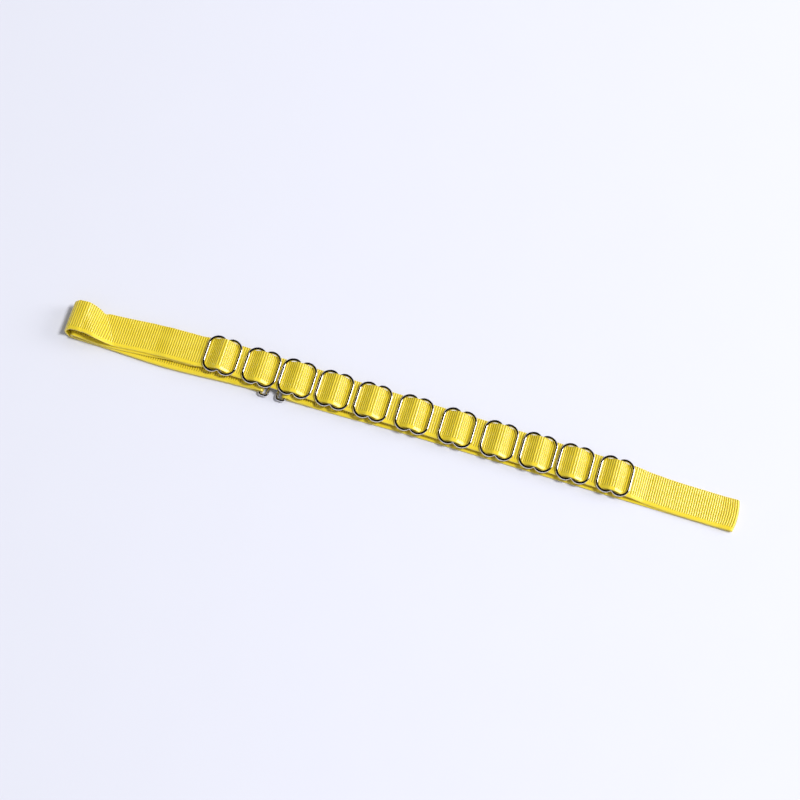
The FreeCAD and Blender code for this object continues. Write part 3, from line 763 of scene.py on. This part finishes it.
def make_strap():
    """The whole strap, as pieces that meet end to end."""
    last_section = len(LINE_S) - 1
    right_still = at_place(TOP, RIGHT_STILL)
    left_still = at_place(TOP, LEFT_STILL)
    inner_still = at_place(SEWN, LEFT_STILL)
    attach(make_piece("webbing_right_fold", 0, right_still, WEBBING), "strap")
    here = right_still
    for number in range(SLIDER_COUNT, 0, -1):
        place = SLIDER_PLACES[number - 1]
        crest = at_place(TOP, place)
        piece = make_piece("webbing_right_of_slider_%02d" % number, here, crest, WEBBING)
        blend_along(piece)
        here = crest
        if number > 1:
            gap = at_place(TOP, middle_of_gap(number - 1))
            piece = make_piece("webbing_left_of_slider_%02d" % number, here, gap, WEBBING)
            blend_along(piece)
            here = gap
    piece = make_piece("webbing_to_left_fold", here, left_still, WEBBING)
    blend_along(piece)
    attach(make_piece("webbing_left_fold", left_still, inner_still, WEBBING), "strap")
    piece = make_piece("webbing_sewn_end", inner_still, last_section, WEBBING)
    blend_along(piece)


make_strap()


# ---------------------------------------------------------------- bar tacks

THREAD_RADIUS = 0.00019
THREAD_SIDES = 8
THREAD_TWIST = 0.0011
STITCH_PITCH = 0.00037
STEPS_PER_STITCH = 20
# Powers below 1 make the round of a stitch squarer, so that it follows the cut end's box.
SQUARER_ALONG = 0.35
SQUARER_UP = 0.6
# No part of a stitch runs this way, so the thread's round section is built from it.
ACROSS_THE_THREAD = (0.0, 0.83, 0.56)


def tube(name, line, radius, sides, twist_length, material):
    """A closed round tube along a line of points in metres."""
    line = np.array(line)
    run = np.gradient(line, axis=0)
    run /= np.linalg.norm(run, axis=1, keepdims=True)
    side = np.cross(run, ACROSS_THE_THREAD)
    side /= np.linalg.norm(side, axis=1, keepdims=True)
    other = np.cross(run, side)
    angles = np.linspace(0, 2 * math.pi, sides, endpoint=False)
    rings = (line[:, None] + radius * (np.cos(angles)[None, :, None] * side[:, None]
                                       + np.sin(angles)[None, :, None] * other[:, None]))
    points = rings.reshape(-1, 3)
    faces = []
    for section in range(len(line) - 1):
        base = section * sides
        for step in range(sides):
            after = (step + 1) % sides
            faces.append((base + step, base + after, base + sides + after, base + sides + step))
    faces.append(tuple(range(sides))[::-1])
    faces.append(tuple((len(line) - 1) * sides + step for step in range(sides)))
    mesh = bpy.data.meshes.new(name)
    mesh.from_pydata(points.tolist(), [], faces)
    mesh.update()
    for polygon in mesh.polygons:
        polygon.use_smooth = len(polygon.vertices) == 4
    steps = np.linalg.norm(np.diff(line, axis=0), axis=1)
    distance = np.concatenate([[0], np.cumsum(steps)])
    twist = distance[:, None] / twist_length + angles[None, :] / (2 * math.pi)
    attribute = mesh.attributes.new("twist", "FLOAT", "POINT")
    attribute.data.foreach_set("value", twist.reshape(-1).astype(np.float32))
    mesh.materials.append(material)
    thing = bpy.data.objects.new(name, mesh)
    bpy.context.scene.collection.objects.link(thing)
    return thing


def squarer(value, power):
    """A sine or cosine pushed out towards -1 and 1."""
    return abs(value) ** power * math.copysign(1, value)


def make_tack(node, body, name):
    """A bar tack: thread wound tightly over and under the webbing's cut end."""
    low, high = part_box(node)
    centre = (low + high) / 2
    half_x = (high.x - low.x) / 2 - THREAD_RADIUS
    half_z = (high.z - low.z) / 2 - THREAD_RADIUS
    turns = int((high.y - low.y - 2 * THREAD_RADIUS) / STITCH_PITCH)
    line = []
    for step in range(turns * STEPS_PER_STITCH + 1):
        angle = 2 * math.pi * step / STEPS_PER_STITCH
        x = centre.x + half_x * squarer(math.cos(angle), SQUARER_ALONG)
        y = low.y + THREAD_RADIUS + STITCH_PITCH * step / STEPS_PER_STITCH
        z = centre.z + half_z * squarer(math.sin(angle), SQUARER_UP)
        line.append((x, y, z))
    tack = tube(name, line, THREAD_RADIUS, THREAD_SIDES, THREAD_TWIST, THREAD)
    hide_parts(node)
    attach(tack, body)


make_tack("adjuster_end_tack", "adjuster", "stitches_at_adjuster")
make_tack("ring_end_tack", "strap", "stitches_at_ring")

# ---------------------------------------------------------------- wire pieces

for wire_node in SLIDER_NODES + ["closure_hook", "closure_ring"]:
    wire_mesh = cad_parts[wire_node].data
    wire_mesh.materials.clear()
    wire_mesh.materials.append(WIRE)

# ---------------------------------------------------------------- floor, light and camera

FLOOR_SIZE = 4.0
FLOOR_TOP = -0.0001


def make_floor():
    """A flat floor, just under the belt."""
    half = FLOOR_SIZE / 2
    mesh = bpy.data.meshes.new("floor")
    corners = [(x, y, FLOOR_TOP) for x, y in ((-half, -half), (half, -half), (half, half), (-half, half))]
    mesh.from_pydata(corners, [], [(0, 1, 2, 3)])
    mesh.materials.append(floor_material())
    floor = bpy.data.objects.new("floor", mesh)
    bpy.context.scene.collection.objects.link(floor)


WORLD_STRENGTH = 0.48


def make_world():
    """A pale studio, darker away from the window side. Glossy things see its dark ceiling."""
    far_side = (0.74, 0.75, 0.78, 1)
    window_side = (1.0, 1.0, 1.0, 1)
    pale_walls = (1.0, 0.97, 0.96, 1)
    dark_ceiling = (0.005, 0.005, 0.007, 1)
    world = bpy.data.worlds.new("studio")
    bpy.context.scene.world = world
    world.use_nodes = True
    nodes = Nodes(world.node_tree)
    background = nodes.add("ShaderNodeBackground")
    output = nodes.add("ShaderNodeOutputWorld")
    nodes.join(background.outputs[0], output.inputs[0])
    direction = nodes.add("ShaderNodeTexCoord").outputs["Generated"]
    split = nodes.add("ShaderNodeSeparateXYZ")
    nodes.join(direction, split.inputs[0])
    sideways = nodes.maths("MULTIPLY_ADD", split.outputs[1], 0.45,
                           nodes.maths("MULTIPLY", split.outputs[0], 0.9))
    dome = nodes.mix(nodes.ramp(sideways, -0.8, 0.9), far_side, window_side)
    above_walls = nodes.ramp(split.outputs[2], 0.0, 0.12)
    mirrored = nodes.mix(above_walls, pale_walls, dark_ceiling)
    glossy = nodes.add("ShaderNodeLightPath").outputs["Is Glossy Ray"]
    nodes.join(nodes.mix(glossy, dome, mirrored), background.inputs[0])
    background.inputs[1].default_value = WORLD_STRENGTH


def add_area(name, azimuth, elevation, distance, size, power, colour, in_mirrors=True):
    """A square soft light, aimed at the belt. Azimuth 0 is along +X, 90 along +Y."""
    light = bpy.data.lights.new(name, "AREA")
    light.shape = "SQUARE"
    light.size = size
    light.energy = power
    light.color = colour
    thing = bpy.data.objects.new(name, light)
    thing.visible_glossy = in_mirrors
    turn, lift = math.radians(azimuth), math.radians(elevation)
    place = Vector((math.cos(lift) * math.cos(turn), math.cos(lift) * math.sin(turn),
                    math.sin(lift))) * distance
    thing.location = place
    thing.rotation_euler = (-place).to_track_quat("-Z", "Y").to_euler()
    bpy.context.scene.collection.objects.link(thing)


CAMERA_AZIMUTH = math.radians(-6.42)
CAMERA_ELEVATION = math.radians(71.16)
CAMERA_ROLL = math.radians(10.80)
CAMERA_DISTANCE = 0.8621
CAMERA_AIM = Vector((-0.00341, 0.00756, 0))


def make_camera():
    """Looks down at the belt from its near side. Azimuth 0 looks along +Y."""
    data = bpy.data.cameras.new("camera")
    data.lens = 85.0
    data.sensor_width = 36.0
    data.clip_start = 0.05
    data.clip_end = 20.0
    level = math.cos(CAMERA_ELEVATION)
    look = Vector((level * math.sin(CAMERA_AZIMUTH), level * math.cos(CAMERA_AZIMUTH),
                   -math.sin(CAMERA_ELEVATION)))
    right = look.cross(Vector((0, 0, 1))).normalized()
    up = right.cross(look)
    rolled_right = right * math.cos(CAMERA_ROLL) + up * math.sin(CAMERA_ROLL)
    rolled_up = up * math.cos(CAMERA_ROLL) - right * math.sin(CAMERA_ROLL)
    camera = bpy.data.objects.new("camera", data)
    place = CAMERA_AIM - look * CAMERA_DISTANCE
    axes = Matrix((rolled_right, rolled_up, -look)).transposed()
    camera.matrix_world = Matrix.Translation(place) @ axes.to_4x4()
    bpy.context.scene.collection.objects.link(camera)
    bpy.context.scene.camera = camera


make_floor()
make_world()
add_area("key_light", azimuth=12, elevation=64, distance=2.8, size=0.55, power=66.0,
         colour=(1.0, 0.985, 0.96), in_mirrors=False)
add_area("window_light", azimuth=21, elevation=26, distance=3.4, size=1.45, power=46.0,
         colour=(1.0, 0.99, 0.98))
make_camera()
bpy.context.scene.view_settings.view_transform = "Standard"
